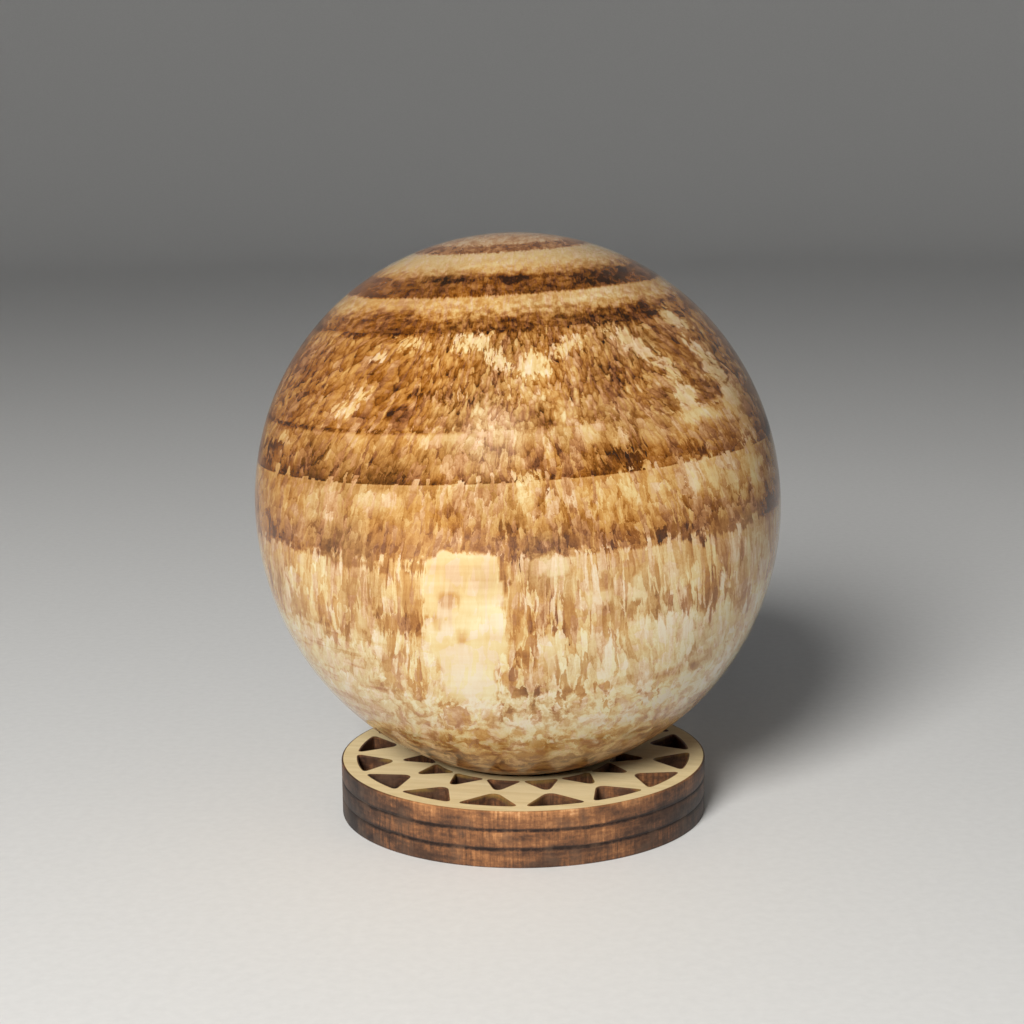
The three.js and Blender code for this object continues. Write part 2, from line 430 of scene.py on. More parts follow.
# Crisp patches of the front: place across, height in the layers, half width, half height,
# lean (shift across for each millimetre up), tone (0 cream, 1 darkest).
crispPatches = [
    # the bright window under the golden layer
    (-5.2, -2.6, 3.9, 3.1, 0, 0.15), (-5, -7.5, 3.7, 3.2, -0.02, 0.14), (-4.9, -12, 2.6, 3, -0.12, 0.14),
    # pale diagonals of the right shoulder and the brown wedge between them
    (11.4, 18.3, 0.85, 1.6, -1.25, 0.2), (14.9, 15.8, 0.6, 1.7, -0.82, 0.22),
    (16.6, 13, 0.9, 0.9, -0.5, 0.2), (18, 11.3, 2, 0.75, 0, 0.2), (15.6, 20, 0.7, 0.9, -1.2, 0.2),
    (18.2, 16.6, 0.65, 1.2, -1, 0.17), (19.9, 14.4, 0.8, 1.5, -0.7, 0.17),
    (21.4, 11.8, 0.95, 1.7, -0.4, 0.18), (22.8, 9, 0.45, 1.5, -0.4, 0.22), (16, 17, 1.2, 1.6, -1, 0.7),
    (16.7, 14.9, 0.6, 0.6, 0, 0.76), (18.8, 13.1, 1.4, 0.9, -0.7, 0.72),
    # cream islands and dark specks of the mottled layer
    (-4, 19.6, 1.5, 0.6, -0.3, 0.17), (-1.9, 18.1, 0.7, 0.9, -0.8, 0.17), (1.7, 17.4, 1.5, 1, 0, 0.17),
    (5, 18.8, 1, 0.7, 0.2, 0.2), (-13.3, 18.6, 0.4, 0.5, 0.3, 0.18), (-10.4, 19.6, 0.8, 0.45, 0.3, 0.22),
    (-6.8, 14.7, 0.75, 0.4, 0, 0.74), (-4.8, 14.6, 0.6, 0.45, 0, 0.76), (-0.7, 14.55, 0.85, 0.45, 0, 0.76),
    (-8, 17, 0.4, 0.4, 0, 0.7), (12.7, 19.2, 0.7, 0.4, -0.4, 0.72), (-4.9, 17.4, 0.6, 0.5, 0, 0.64),
    (6.8, 17.1, 0.6, 0.8, -0.3, 0.68), (-15.3, 15.1, 0.7, 0.5, 0.5, 0.22), (-17, 13.6, 0.9, 0.5, 0.4, 0.22),
    # the strip under the thin brown line, and the dark foot of that layer
    (-9, 11.1, 1, 0.5, 0, 0.2), (-5.2, 11.1, 2.7, 0.42, 0, 0.3), (-15.3, 11, 0.7, 0.4, 0, 0.24),
    (-12.8, 11, 0.5, 0.45, 0, 0.24), (7, 10.9, 0.9, 0.7, -0.2, 0.24), (9.8, 8.2, 1.8, 0.9, -0.2, 0.78),
    (17.5, 8.2, 0.6, 0.8, -0.2, 0.76), (1, 7.35, 0.9, 0.5, 0, 0.22), (-24.6, 8.7, 0.9, 1.3, 0.2, 0.74),
    # the golden layer
    (10.5, 5.5, 0.55, 1.2, -0.5, 0.2), (17.1, 5.3, 0.65, 1.4, -0.3, 0.2), (19.1, 5, 0.75, 1.6, -0.3, 0.2),
    (13.2, 5.2, 0.5, 1.5, -0.4, 0.24), (21.4, 4.2, 0.5, 1.6, -0.35, 0.22), (23.5, 5, 0.45, 1.8, -0.3, 0.24),
    (-12.5, 0.7, 0.9, 0.45, 0, 0.68), (-10.4, 0.6, 0.9, 0.5, 0, 0.66), (-1, 0.9, 0.7, 1.8, -0.2, 0.7),
    (5, 0.8, 1, 0.65, 0, 0.72), (8.4, 0.7, 0.8, 0.6, 0, 0.74), (12.4, 0.75, 1.4, 0.5, 0, 0.76),
    (14.9, 0.9, 0.8, 0.6, 0, 0.74), (17.1, 0.5, 1.2, 0.8, -0.2, 0.74), (18.2, -0.6, 0.45, 0.5, 0, 0.8),
    (21.4, 0.2, 2.4, 0.8, 0, 0.62), (-14.8, -0.75, 3.2, 0.6, 0, 0.6), (-9.9, -0.9, 1.6, 0.75, 0, 0.64),
    (-1.4, -1.6, 0.8, 1.6, -0.2, 0.66), (4.5, 3.4, 0.45, 0.7, 0, 0.62),
    # columns and dashes of the lower layer
    (-11.6, -6.55, 2.4, 1.05, 0, 0.54), (-10.6, -3.2, 1.1, 2.2, 0, 0.42),
    (-17.4, -4.6, 0.5, 3.2, 0.03, 0.4), (-17.3, -7.4, 0.65, 2.2, 0.03, 0.44),
    (-15.5, -3.7, 0.55, 1.9, 0, 0.4), (-22.1, -6.1, 0.9, 1.3, 0, 0.45), (-18.7, -9, 0.9, 0.4, 0, 0.44),
    (-15, -6.6, 0.6, 1, 0, 0.17), (-12.4, -9, 0.5, 1, 0, 0.42), (-10.2, -12.4, 0.7, 2, -0.15, 0.42),
    (-12.9, -12.3, 0.9, 1.8, -0.15, 0.38), (-0.4, -3, 0.6, 2.5, -0.1, 0.4),
    (0.2, -7.4, 0.85, 2.4, -0.12, 0.46), (0.9, -10.3, 0.55, 1, -0.2, 0.46), (-1, -12.9, 1, 1.7, -0.1, 0.48),
    (1.5, -7, 0.28, 1.3, -0.15, 0.64), (2.3, -6.8, 0.2, 1.1, -0.15, 0.6),
    (3.5, -6.9, 0.35, 1.4, -0.15, 0.68), (5.1, -6.1, 0.5, 1.3, -0.2, 0.5), (7.9, -7.7, 1.8, 0.95, 0, 0.42),
    (8.5, -2.9, 0.8, 1, 0, 0.46), (10.7, -2.8, 0.6, 1.2, -0.1, 0.45), (11, -6.4, 0.9, 1, 0, 0.56),
    (14.3, -6, 0.75, 0.9, 0, 0.64), (13.9, -4.2, 0.5, 1.3, -0.2, 0.45), (16.9, -6.6, 0.6, 1.2, 0, 0.66),
    (18.8, -6.1, 0.8, 1.7, 0, 0.58), (18.7, -8.6, 0.3, 0.7, 0, 0.52), (21, -6.8, 0.3, 1.1, 0, 0.54),
    (22.6, -7, 0.6, 2.3, 0, 0.48), (3.9, -12.2, 0.5, 1.6, -0.1, 0.48), (6.3, -12.6, 0.3, 2, 0, 0.42),
    (9.8, -10.8, 0.3, 0.8, 0, 0.42), (7.6, -4.8, 1.2, 0.65, 0, 0.17), (11.5, -4.2, 0.45, 1.4, -0.2, 0.17),
    (3, -10.2, 0.8, 1.9, 0, 0.17), (3.4, -1.2, 1.2, 0.7, 0, 0.17),
    # the dotted line below them
    (2.4, -14.4, 2.1, 0.3, 0, 0.56), (6.3, -14.6, 0.45, 0.4, 0, 0.56), (8.2, -14.5, 0.4, 0.3, 0, 0.5),
    # the underside
    (-6.5, -17.2, 1.3, 1.5, -0.2, 0.46), (-1.4, -17, 0.5, 0.8, 0, 0.5), (1.4, -17, 0.5, 0.9, 0, 0.5),
    (3.9, -16.2, 0.4, 1.3, 0, 0.5), (8.8, -16.8, 0.4, 0.6, 0, 0.5), (12.8, -16.8, 0.7, 0.6, 0, 0.5),
    (1.6, -21.2, 1.6, 0.8, 0, 0.62), (-7, -23.8, 0.7, 0.5, 0, 0.75), (-1.6, -24, 0.5, 0.5, 0, 0.75),
    (8.4, -22, 0.7, 0.5, 0, 0.72),
]

# Soft patches, the same way, but the last number is added to the tone. The two large ones at
# the ball's left and right edges are painted shade.
softPatches = [
    (-6.4, 25.3, 1.8, 0.35, 0, 0.25), (-0.4, 25.1, 1.6, 0.35, 0, 0.25), (9, 24.6, 3, 0.6, 0, 0.15),
    (-11.5, 21, 1.8, 0.8, 0.6, 0.1), (-0.5, 21, 2, 0.7, 0, 0.08), (9, 21, 2.2, 0.8, -0.5, 0.15),
    (8, 23.2, 2.4, 0.6, 0, -0.12), (13, 21.2, 1.6, 0.8, -0.5, 0.18), (-9.6, 15.2, 1.2, 0.4, 0, 0.18),
    (-11.3, 13.3, 1.3, 0.7, 0.3, 0.22), (-3, 12.8, 1.3, 1.2, 0, -0.22), (9.4, 15.6, 1.8, 1.4, -0.8, 0.1),
    (2.6, 12.6, 0.7, 0.9, -0.2, 0.22), (5, 13, 0.9, 0.9, 0, -0.2), (15, 9.5, 2.6, 1.4, -0.5, -0.03),
    (9.6, 9.6, 2.2, 1.6, -0.3, 0.1), (-11, 7.7, 1.2, 0.8, 0, 0.08), (-13.8, 5.3, 1.7, 1.1, 0, -0.15),
    (-20, 4.6, 2.6, 1.8, 0.2, -0.14), (0.8, 5.4, 0.8, 1.4, -0.3, -0.18), (6.4, 5, 2.1, 1, 0, -0.04),
    (22.4, 4.8, 1.5, 1.8, -0.4, -0.12), (-12.4, 1.8, 2, 1.1, 0, 0.04), (-17.8, 0.7, 1.6, 0.7, 0, 0.08),
    (-23.9, 1.2, 1.8, 1.2, 0, 0.1), (26, 1, 1.4, 1.8, 0, 0.1), (-6.6, -4.2, 1.1, 0.7, 0, 0.2),
    (-7.9, -6.6, 0.4, 0.9, 0, 0.18), (-5.5, -8, 0.4, 0.8, 0, 0.2), (-6.5, -4.5, 2.3, 1.8, 0, 0.06),
    (-11, -12.2, 2.5, 2.4, -0.15, 0.04), (13, -11, 4.5, 3.5, 0, -0.05), (14.1, -4, 1.5, 1.6, -0.2, 0.1),
    (-20.5, -3.5, 2.5, 3, 0, -0.05), (-13.8, 10.7, 5.2, 1, 0, 0.1), (-13.5, 16.5, 4.8, 4, 0, 0.03),
    (-4.5, 8.3, 4.5, 1.2, 0, -0.12), (13, 7.6, 4.5, 1, 0, 0.02), (17.7, 5.6, 4, 2.6, -0.2, -0.04),
    (-16, -4.8, 7.5, 3.6, 0, 0.04), (-13, 22.2, 3.6, 0.6, 0.5, 0.2), (-12, -24, 4, 2, 0, 0.12),
    # the last two here darken the ball's left and right edges: painted shade
    (15, -16.5, 9, 2.5, 0, -0.06), (-23.5, 12, 4.5, 9, 0, 0.09), (24, 9, 5, 10, 0, 0.07),
    (1.2, 13.7, 3.4, 2.6, -0.2, -0.1), (17.5, -7, 4.5, 4.5, 0, -0.06), (12, -5.5, 3.5, 3.5, 0, -0.05),
    (1.2, -12, 2.4, 2.4, -0.1, 0.12), (5, -20.6, 6.5, 3.2, 0, -0.15), (-4, -15.2, 2.2, 1.6, 0, -0.1),
    (10.4, -14.3, 0.8, 0.5, 0, 0.14), (12.8, -14.5, 0.8, 0.45, 0, 0.16), (15.2, -14.4, 1, 0.5, 0, 0.18),
    (17.8, -14.5, 1.1, 0.6, 0, 0.18), (-1.7, 5.7, 2.2, 1.6, 0, -0.08), (-7.1, 3.2, 1.6, 1.6, 0, 0.08),
]


def boxSpread(row, x, height):
    # |u|^4 + |v|^4 to the power 1/4, u and v being the distances from the patch's leaned
    # middle line in half widths and half heights: 1 on its rounded-box outline.
    across, up, halfWidth, halfHeight, lean, _ = row
    u = (x - across - lean * (height - up)) / halfWidth
    v = (height - up) / halfHeight
    return (u ** 4 + v ** 4) ** 0.25


def crispField(x, height, front):
    # How far inside the nearest patch a point lies, 0.5 on its outline and 0 or 1 at
    # edgeSoft millimetres from it, and that patch's tone.
    best, tone = np.zeros_like(x), np.full_like(x, 0.4)
    for row in crispPatches:
        depth = (1 - boxSpread(row, x, height)) * min(row[2], row[3])
        inside = np.clip(0.5 + depth / (2 * stone["edgeSoft"]), 0, 1) * front
        tone = np.where(inside > best, row[5], tone)
        best = np.maximum(best, inside)
    return best, tone


def softField(x, height, front):
    # The sum of what every soft patch adds, each fading out by the smooth step of its spread.
    total = np.zeros_like(x)
    for row in softPatches:
        total += row[5] * smoothStep(1.35, 0.65, boxSpread(row, x, height))
    return total * front


def fibreLean(height):
    # How far the fibres have leaned by a height: the lean summed up from the middle.
    steps = np.linspace(-32, 32, 1281)
    lean = np.interp(steps, stone["leanHeights"], stone["leans"])
    summed = np.concatenate([[0], np.cumsum((lean[1:] + lean[:-1]) / 2 * np.diff(steps))])
    return np.interp(height, steps, summed) - np.interp(0, steps, summed)


def stoneMarks(p):
    # grain: x shifted by the summed lean, y squeezed, and the height counted in growth
    # layers. patch: the sum of the soft patches, with cloudy ones on the back. inside and
    # insideTone: how far a point lies inside a crisp patch, and the tone of that patch.
    x, y, z = p[..., 0], p[..., 1], p[..., 2]
    height = z - stone["zero"] - stone["tilt"] * x
    across = x + fibreLean(height) * np.clip(x / (0.45 * stoneRadius), *stone["leanSides"])
    layer = np.interp(height, stone["edges"], np.arange(len(stone["edges"])))
    grain = np.stack([across, y * stone["depthStretch"], layer], -1)

    place = np.stack([across, y, z], -1)
    wobbleLength, wobbleAcross, wobbleUp = stone["patchWobble"]
    px = x + wobbleAcross * (latticeNoise(place, wobbleLength, 11) - 0.5)
    ph = height + wobbleUp * (latticeNoise(place, wobbleLength, 12) - 0.5)
    front = smoothStep(*stone["frontSide"], y)
    inside, insideTone = crispField(px, ph, front)

    stretched = place / np.array([1, 1, 2.0])
    large, small = stone["cloudSizes"]
    cloud = latticeNoise(stretched, large, 21) + 0.6 * latticeNoise(stretched, small, 22) - 0.8
    strength = stone["cloudStrength"]
    back = np.clip(cloud * 0.5, -strength, strength) * (1 - front)
    patch = softField(px, ph, front) + back
    return {"grain": grain, "patch": patch, "inside": inside, "insideTone": insideTone}


def layerRamp(add, height, layers, lowest, highest):
    # The layer list as a ramp from the lowest height to the highest.
    span = highest - lowest
    stops = [((h - lowest) / span, (tone, fibre, mottle, 1)) for h, tone, fibre, mottle in reversed(layers)]
    place = calc(add, "DIVIDE", minus(add, height, lowest), span)
    return ramp(add, place, [(min(max(at, 0), 1), values) for at, values in stops])


def addFibres(add, bent):
    # Upright columns, each cut into lengths by the growth layers, each length with a tone of
    # its own. Gives the tones of broad and fine ones, the place along a broad length, and a
    # number of its own for each fine column.
    layer = splitVector(add, bent)["Z"]

    def lengths(width, layerRate, seed):
        column = add("ShaderNodeTexVoronoi", {"Vector": bent, "Scale": 1 / width, "Randomness": 1.0},
                     voronoi_dimensions="2D")
        own = splitColour(add, column.outputs["Color"])
        # Counted less in a column's middle than at its border, so every length ends in a point.
        pointed = scaled(add, column.outputs["Distance"], 0.7, times(add, own[2], 0.6))
        count = scaled(add, layer, layerRate, pointed)
        whole = calc(add, "FLOOR", count)
        key = joinVector(add, scaled(add, own[0], 57.0, seed), times(add, own[1], 31.0), whole)
        tone = add("ShaderNodeTexWhiteNoise", {"Vector": key}, noise_dimensions="3D").outputs["Value"]
        return tone, minus(add, count, whole), own[0]

    broadTone, broadPart, _ = lengths(*stone["broadFibre"], 3.0)
    fineTone, _, fineOwn = lengths(*stone["fineFibre"], 8.0)
    return broadTone, broadPart, fineTone, fineOwn


def addMottle(add, bent, height, hair):
    # Lumps, light with dark gaps, smaller above the thin brown line; near the top and on the
    # underside ragged blotches take their place, flat and wide near the top. Gives the mottle
    # and a number of its own for each lump.
    inLumps = calc(add, "GREATER_THAN", height, stone["lumpsFrom"])
    inFlats = calc(add, "GREATER_THAN", height, stone["flatsFrom"])
    wide, tall = scaled(add, inLumps, 0.75, 0.85), scaled(add, inLumps, 0.05, 0.80)
    parts = splitVector(add, bent)
    lumpAt = joinVector(add, times(add, parts["X"], wide),
                        times(add, parts["Y"], times(add, wide, 1.9)),
                        times(add, height, tall))
    lump = add("ShaderNodeTexVoronoi", {"Vector": lumpAt, "Scale": 1.0, "Randomness": 1.0})
    own = splitColour(add, lump.outputs["Color"])
    below = splitVector(add, vectorCalc(add, "SUBTRACT", lump.outputs["Position"], lumpAt))["Z"]
    reach = scaled(add, own[2], 0.30, minus(add, lump.outputs["Distance"], 0.15))
    lumps = scaled(add, reach, 1.3, minus(add, own[0], 1.18))
    lumps = scaled(add, below, 0.6, lumps)

    spotAt = joinVector(add, times(add, parts["X"], scaled(add, inFlats, -0.15, 0.75)),
                        times(add, parts["Y"], 2.2),
                        times(add, height, scaled(add, inFlats, 1.45, 0.50)))
    spots = noise(add, spotAt, 1.0, 3.0, 0.5, distortion=0.1)
    spots = scaled(add, hair, 0.20, minus(add, spots, 0.60))
    spots = times(add, spots, scaled(add, inFlats, -0.50, 1.0))
    spots = ease(add, spots, -0.12, 0.12, -0.70, 0.70)
    isSpotted = calc(add, "MAXIMUM", inFlats, ease(add, height, *stone["blotchesBelow"], 1.0, 0.0))
    return blend(add, isSpotted, lumps, spots), own[1]


def addLayers(add, height, hair, fineOwn):
    # Teeth: the layer below pokes up into the one above, column by column; few and thin at
    # the sharp edge, many elsewhere. Gives the tone of the layers and the strengths of their
    # fibres and mottle.
    fromSharp = calc(add, "ABSOLUTE", minus(add, height, stone["sharpEdge"]))
    crisp = ease(add, fromSharp, 0.8, 2.2)
    tooth = blend(add, crisp, calc(add, "POWER", fineOwn, 9.0), calc(add, "POWER", fineOwn, 2.0))
    toothed = scaled(add, tooth, ease(add, height, 12.0, 21.0, -1.1, -0.12), height)
    toothed = scaled(add, centred(add, hair), scaled(add, crisp, 0.5, 0.06), toothed)
    upper = layerRamp(add, toothed, upperLayers, 6.80, 31.2)
    lower = layerRamp(add, toothed, lowerLayers, -30.2, 6.90)
    isUpper = ease(add, toothed, splitHeight - 0.05, splitHeight + 0.05)
    return splitColour(add, blendColour(add, isUpper, lower, upper))


def makeStoneMaterial():
    # The tone, 0 cream to 1 darkest, is the tone of the layers with fibres, mottle and
    # patches on it, and three colour ramps turn it into stone.
    material, add = newMaterial("banded_stone")
    place = add("ShaderNodeTexCoord").outputs["Object"]
    grain = pointMark(add, "grain", "Vector")
    patch, inside, insideTone = (pointMark(add, label) for label in ("patch", "inside", "insideTone"))

    # Height in the tilted layers, and the place across, both in millimetres.
    upwards = vectorCalc(add, "DOT_PRODUCT", place, (-stone["tilt"] / mm, 0, 1 / mm), output="Value")
    height = minus(add, upwards, stoneMiddle + stone["zero"])
    across = calc(add, "DIVIDE", splitVector(add, place)["X"], mm)

    # A slow noise bends the columns of the fibres and a quick one frays them.
    bend = add("ShaderNodeTexNoise", {"Vector": grain, "Scale": 0.45, "Detail": 2.0})
    bend = vectorCalc(add, "SUBTRACT", bend.outputs["Color"], (0.5, 0.5, 0.5))
    bent = vectorCalc(add, "MULTIPLY_ADD", bend, (1.6, 1.6, 0.7), grain)
    fray = add("ShaderNodeTexNoise", {"Vector": grain, "Scale": 2.2, "Detail": 3.0, "Roughness": 0.6})
    fray = vectorCalc(add, "SUBTRACT", fray.outputs["Color"], (0.5, 0.5, 0.5))
    bent = vectorCalc(add, "MULTIPLY_ADD", fray, (0.5, 0.5, 0.9), bent)

    broadTone, broadPart, fineTone, fineOwn = addFibres(add, bent)
    hair = noise(add, bent, 1.0, 4.0, 0.65, size=(3.6, 3.6, 1.4), shift=(2, 9, 4))
    mottle, lumpOwn = addMottle(add, bent, height, hair)
    layers = addLayers(add, height, hair, fineOwn)
    tone, fibreWeight, mottleWeight = layers[0], layers[1], layers[2]

    # At the lower left the mottle is calmer and level dashes lie in it.
    calm = times(add, ease(add, across, -16.0, -11.0, 1.0, 0.0), ease(add, height, -10.0, -7.0, 1.0, 0.0))
    mottle = times(add, mottle, scaled(add, calm, -0.5, 1.0))
    dashes = noise(add, place, 1.0, 3.0, 0.6, size=(110, 110, 1000), shift=(2, 5, 3))
    dashes = ease(add, dashes, 0.52, 0.62, 0.0, 0.16)

    speck = noise(add, place, 5200.0, 2.0, 0.6)
    bedding = noise(add, joinVector(add, 0.0, 0.0, height), 1.9, 3.0, 0.6)
    cloud = noise(add, place, 90.0, 3.0, 0.55)

    # Everything that makes fibres, about zero on average, and a fifth weaker at the upper left.
    fibres = scaled(add, broadTone, 0.75, scaled(add, fineTone, 0.75, -0.75))
    fibres = scaled(add, hair, 1.8, minus(add, fibres, 0.90))
    fibres = scaled(add, broadPart, -0.35, plus(add, fibres, 0.17))
    texture = scaled(add, fibres, fibreWeight, times(add, mottle, mottleWeight))
    texture = scaled(add, centred(add, speck), 0.22, texture)
    quiet = times(add, ease(add, across, -12.0, -4.0, 0.22, 0.0), ease(add, height, -1.0, 1.0))
    texture = times(add, texture, minus(add, 1.0, quiet))
    tone = plus(add, tone, texture)

    # Crisp patches, their outlines frayed by the fibres. The bright window is frayed less,
    # has level bands and shows less of the fibres.
    darkest = stone["darkestWindow"]
    isWindow = ease(add, insideTone, darkest, darkest + 0.015, 1.0, 0.0)
    frayed = scaled(add, fineTone, 0.5, scaled(add, hair, 0.7, -0.60))
    frayed = times(add, frayed, scaled(add, isWindow, -0.55, 1.0))
    cover = ease(add, plus(add, inside, frayed), 0.40, 0.60)
    levels = noise(add, place, 1.0, 2.0, 0.5, size=(90, 90, 480))
    patchTone = scaled(add, scaled(add, levels, 0.50, -0.25), isWindow, insideTone)
    kept = times(add, scaled(add, insideTone, 0.5, 0.35), scaled(add, isWindow, -0.60, 1.0))
    tone = blend(add, cover, tone, scaled(add, texture, kept, patchTone))

    # Soft patches, the thin brown line, the dashes, faint beds and slow clouds.
    tone = scaled(add, patch, scaled(add, fineTone, 0.5, 0.75), tone)
    fromLine = minus(add, height, stone["thinLine"])
    fromLine = calc(add, "ABSOLUTE", scaled(add, centred(add, hair), 0.35, fromLine))
    thinLine = ease(add, fromLine, 0.08, 0.34, stone["thinLineStrength"], 0.0)
    thinLine = times(add, thinLine, ease(add, across, -11.0, -1.0, 1.0, 0.25))
    tone = plus(add, tone, thinLine)
    tone = scaled(add, dashes, calm, tone)
    tone = scaled(add, centred(add, bedding), 0.14, tone)
    tone = scaled(add, centred(add, cloud), 0.15, tone, clamp=True)

    def stoneRamp(key):
        dimmed = [(at, [channel * stone["dim"] for channel in toLinear(colour)[:3]] + [1])
                  for at, colour in stone[key]]
        return ramp(add, tone, dimmed)

    # Umber where the clouds are thick; rose in some lumps and fibres and in the cap.
    cool = ease(add, cloud, 0.40, 0.70, 0.0, 0.6)
    rosy = scaled(add, lumpOwn, 0.5, times(add, fineOwn, 0.5))
    rosy = ease(add, rosy, 0.45, 0.75, 0.0, 0.8)
    rosy = calc(add, "MAXIMUM", rosy, ease(add, height, *stone["redTop"], 0.0, 0.9))
    colour = blendColour(add, cool, stoneRamp("honey"), stoneRamp("umber"))
    colour = blendColour(add, rosy, colour, stoneRamp("rose"))

    relief = add("ShaderNodeBump", {
        "Height": plus(add, hair, speck), "Strength": 0.03, "Distance": 0.2 * mm})
    gloss = ease(add, tone, 0.0, 1.0, stone["roughness"] - 0.02, stone["roughness"] + 0.08)
    gloss = plus(add, gloss, ease(add, height, *stone["dullFoot"], 0.12, 0.0))
    shader = add("ShaderNodeBsdfPrincipled", {
        "Base Color": colour,
        "Roughness": gloss,
        "Specular IOR Level": stone["shine"],
        "Coat Weight": stone["coat"],
        "Coat Roughness": stone["coatRoughness"],
        "Subsurface Weight": stone["translucence"],
        "Subsurface Radius": (1.0, 0.6, 0.3),
        "Subsurface Scale": 1.2 * mm,
        "Normal": relief.outputs[0],
    })
    add("ShaderNodeOutputMaterial", {"Surface": shader.outputs[0]})
    return material


def makeStone():
    # Rings of points from the underside to the top, closed by a fan at each pole.
    around, rings = stone["around"], stone["rings"]
    azimuth = np.linspace(0, 2 * np.pi, around, endpoint=False)
    latitude = np.linspace(-np.pi / 2, np.pi / 2, rings + 1)[1:-1]
    middle = stoneSurface(azimuth[None, :], latitude[:, None]).reshape(-1, 3)
    poles = stoneSurface(np.array([0.0, 0.0]), np.array([-np.pi / 2, np.pi / 2]))
    points = np.vstack([middle, poles])
    count = len(middle)
    start, after = np.arange(around), (np.arange(around) + 1) % around
    bottomFan = np.stack([np.full(around, count), after, start], -1)
    topFan = np.stack([np.full(around, count + 1), count - around + start, count - around + after], -1)
    lifted = points + np.array([0, 0, stoneMiddle])
    faces = [gridFaces(rings - 1, around), bottomFan, topFan]
    ball = makePiece("stone", lifted * mm, faces, makeStoneMaterial(), marks=stoneMarks(points))
    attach(ball, "root")
    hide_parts("stone_sphere")


makeStone()
print("stone ready")


stand = {
    "rimRadius": 20.0,
    "holeRadius": 8.4,
    "rimPoints": 360,
    "holePoints": 180,
    "plies": 3,
    "diamonds": 16,
    "outerBase": 18.15,       # radius of the outer openings' bases, then of the inner ones'
    "innerBase": 10.25,
    "waist": 13.95,           # radius where the diamonds are widest apart
    "waistGap": 0.6,
    "outerBridge": 1.25,      # wood left between two bases
    "innerBridge": 0.6,
    "cornerCut": 0.4,
    "apexCut": 1.1,
    "edgeRound": 0.12,
    "gluePinch": 0.07,        # depth and half width of the rim's groove at a glue line
    "glueHalf": 0.16,
    "scorchWidth": 0.13,
    "sharpFrom": 40.0,        # edges are sharp from this angle
    "faceColours": [(0.25, (206, 184, 136)), (0.5, (222, 202, 156)), (0.75, (232, 214, 172))],
    "grainAngle": 12.0,
    "burntColours": [(0.0, (40, 30, 26)), (0.30, (78, 54, 40)), (0.55, (124, 83, 54)),
                     (0.78, (167, 116, 74)), (1.0, (204, 158, 112))],
    "ashColour": (100, 78, 62),
    "oliveColour": (140, 114, 58),
    "sideShadeFront": (-19.5, -9.0, 0.34),    # painted shade: the rim darkens between two places along Y, by so much
    "sideShadeBack": (2.0, 16.0, 0.24),       # and the painted shade eases again behind them
    "rimLift": (-0.07, 0.12),      # tone added at the rim's bottom and at its top
    "towardsRight": 0.003,    # tone added for each millimetre towards +X
    "insideDark": 0.27,       # the walls of the hole and the openings are this much darker
}

standLow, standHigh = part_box("plywood_stand")
standHeight = (standHigh.z - standLow.z) / mm


def polarPoints(radius, angle):
    # Radius and angle to x and y; angle 0 faces the front, -Y.
    return np.stack([radius * np.sin(angle), -radius * np.cos(angle)], -1)


def circleOutline(radius, count):
    # Points at equal angles round a circle.
    return polarPoints(radius, np.linspace(0, 2 * np.pi, count, endpoint=False))


def openingOutline(base, apex, bridge, middle):
    # A base along a circle and two straight sides to an apex, with corners eased by
    # quadratic curves (1-t)^2 a + 2t(1-t) b + t^2 c.
    cut, blunt = stand["cornerCut"], stand["apexCut"]
    halfBase = math.pi / stand["diamonds"] - bridge / 2 / base
    start, end = polarPoints(base, middle - halfBase), polarPoints(base, middle + halfBase)
    tip = polarPoints(apex, middle)

    def towards(a, b, length):
        return a + (b - a) / np.linalg.norm(b - a) * length

    def corner(a, b, c, count=7):
        t = np.linspace(0, 1, count)[:, None]
        return (1 - t) ** 2 * a + 2 * t * (1 - t) * b + t ** 2 * c

    def straight(a, b, count=10):
        t = np.linspace(0, 1, count + 1)[1:-1, None]
        return a + (b - a) * t

    arc = polarPoints(base, np.linspace(middle - halfBase + cut / base, middle + halfBase - cut / base, 17))
    return np.vstack([
        arc[:-1],
        corner(arc[-1], end, towards(end, tip, cut)),
        straight(towards(end, tip, cut), towards(tip, end, blunt)),
        corner(towards(tip, end, blunt), tip, towards(tip, start, blunt)),
        straight(towards(tip, start, blunt), towards(start, tip, cut)),
        corner(towards(start, tip, cut), start, arc[0])[:-1],
    ])


def turnsLeft(loop):
    # The shoelace sum of a loop is positive when it runs anticlockwise.
    after = np.roll(loop, -1, 0)
    return (loop[:, 0] * after[:, 1] - after[:, 0] * loop[:, 1]).sum() > 0


def outwardNormals(loop):
    # Each point's normal is the turned chord between its two neighbours.
    chord = np.roll(loop, -1, 0) - np.roll(loop, 1, 0)
    normal = np.stack([chord[:, 1], -chord[:, 0]], -1)
    normal /= np.linalg.norm(normal, axis=1, keepdims=True)
    return normal if turnsLeft(loop) else -normal


def wallProfile(pinch):
    # Inset from the cut outline, height, and scorch, from the middle of the underside's
    # margin up to the top's: a quarter round at each edge, a shallow V at each glue line.
    r, strip, half = (stand[key] for key in ("edgeRound", "scorchWidth", "glueHalf"))
    quarter = np.linspace(0, np.pi / 2, 4)
    rows = [(r + strip, 0.0, 0.0)]
    rows += [(r - r * math.sin(a), r - r * math.cos(a), 1.0) for a in quarter]
    for ply in range(1, stand["plies"]):
        middle = standHeight * ply / stand["plies"]
        rows += [(0.0, middle - half, 1.0), (pinch, middle, 1.0), (0.0, middle + half, 1.0)]
    rows += [(r - r * math.cos(a), standHeight - r + r * math.sin(a), 1.0) for a in quarter]
    rows += [(r + strip, standHeight, 0.0)]
    return np.array(rows)


